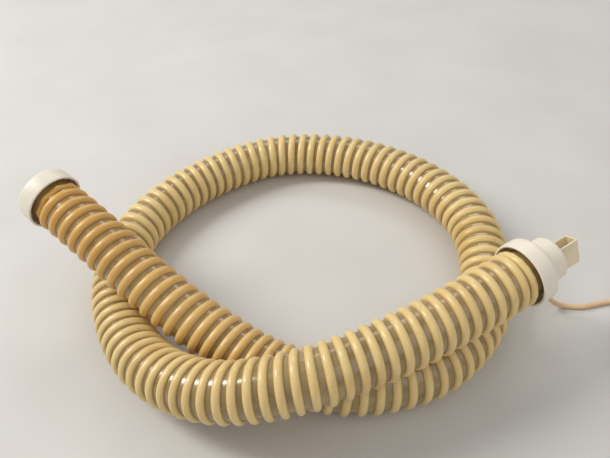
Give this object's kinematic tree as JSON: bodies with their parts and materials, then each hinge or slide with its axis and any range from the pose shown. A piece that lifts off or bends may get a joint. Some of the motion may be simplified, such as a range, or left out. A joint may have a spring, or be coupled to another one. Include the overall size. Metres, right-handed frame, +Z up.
{
  "type": "flexible tube lamp",
  "caption": "Long flexible lamp: a ribbed translucent hose with small bulbs inside lies in a loop over itself, with a pull-off cap, a terminal with a hanging eye and a mains cord.",
  "frame": {"origin": "on the surface that the lamp lies on, under the middle of the lamp's own box, cord left out", "axes": "+Z up; +X to the right, from the capped end's side to the terminal's side; +Y away from the viewer, to the back of the loop"},
  "size_m": [0.7882, 0.4954, 0.1644],
  "materials": {
    "hose_vinyl": "glossy, translucent, yellowed cream",
    "cap_plastic": "satin, off-white",
    "ivory_plastic": "satin, aged ivory",
    "cord_vinyl": "satin, beige",
    "holder_plastic": "satin, cream",
    "bulb_glass": "frosted",
    "tie_rubber": "matt",
    "plated_brass": "polished nickel plate"
  },
  "bodies": {
    "loop": {"hose_left_bend": "hose_vinyl", "hose_loop_01": "hose_vinyl", "hose_loop_02": "hose_vinyl", "hose_loop_03": "hose_vinyl", "hose_loop_04": "hose_vinyl", "hose_loop_05": "hose_vinyl", "hose_loop_06": "hose_vinyl", "hose_loop_07": "hose_vinyl", "hose_loop_08": "hose_vinyl", "hose_loop_09": "hose_vinyl", "hose_loop_10": "hose_vinyl", "hose_right_bend": "hose_vinyl", "bulb_02": "bulb_glass", "bulb_03": "bulb_glass", "bulb_04": "bulb_glass", "bulb_05": "bulb_glass", "bulb_06": "bulb_glass", "bulb_07": "bulb_glass", "bulb_08": "bulb_glass", "bulb_09": "bulb_glass", "bulb_10": "bulb_glass", "bulb_holder_02": "holder_plastic", "bulb_holder_03": "holder_plastic", "bulb_holder_04": "holder_plastic", "bulb_holder_05": "holder_plastic", "bulb_holder_06": "holder_plastic", "bulb_holder_07": "holder_plastic", "bulb_holder_08": "holder_plastic", "bulb_holder_09": "holder_plastic", "bulb_holder_10": "holder_plastic", "inner_lead_left_bend": "holder_plastic", "inner_lead_loop": "holder_plastic", "inner_lead_right_bend": "holder_plastic", "switch_base": "ivory_plastic", "switch_cover": "ivory_plastic", "plug_body": "ivory_plastic", "cord_drop": "cord_vinyl", "cord_run": "cord_vinyl", "cord_link": "cord_vinyl", "cord_tail": "cord_vinyl", "cord_coil": "cord_vinyl", "cord_tie": "tie_rubber", "plug_pin_left": "plated_brass", "plug_pin_right": "plated_brass"},
    "left_end": {"hose_left_end": "hose_vinyl", "bulb_01": "bulb_glass", "bulb_holder_01": "holder_plastic", "inner_lead_left_end": "holder_plastic"},
    "right_end": {"hose_right_end": "hose_vinyl", "bulb_11": "bulb_glass", "bulb_holder_11": "holder_plastic", "bulb_12": "bulb_glass", "bulb_holder_12": "holder_plastic", "inner_lead_right_end": "holder_plastic", "terminal_housing": "cap_plastic", "terminal_block": "holder_plastic", "hanging_eye": "ivory_plastic", "strain_relief": "cord_vinyl"},
    "end_cap": {"end_cap": "cap_plastic"},
    "switch_rocker": {"switch_rocker": "ivory_plastic"}
  },
  "joints": [
    {"name": "left_end_lift", "type": "hinge", "parent": "loop", "child": "left_end", "pos_m": [-0.0778, -0.1343, 0.0537], "axis": [0.4771, 0.8788, 0], "range_deg": [0, 40], "deforming": ["hose_left_bend", "inner_lead_left_bend"]},
    {"name": "right_end_lift", "type": "hinge", "parent": "loop", "child": "right_end", "pos_m": [-0.0154, -0.2173, 0.077], "axis": [0.28, -0.96, 0], "range_deg": [0, 25], "deforming": ["hose_right_bend", "inner_lead_right_bend", "cord_drop", "cord_run"]},
    {"name": "end_cap_pull", "type": "slide", "parent": "left_end", "child": "end_cap", "axis": [-0.7919, 0.5528, 0.2593], "range_m": [0, 0.04]},
    {"name": "switch_rocker_tilt", "type": "hinge", "parent": "loop", "child": "switch_rocker", "pos_m": [0.422, -0.04, 0.018], "axis": [0, -1, 0], "range_deg": [0, 14]}
  ]
}
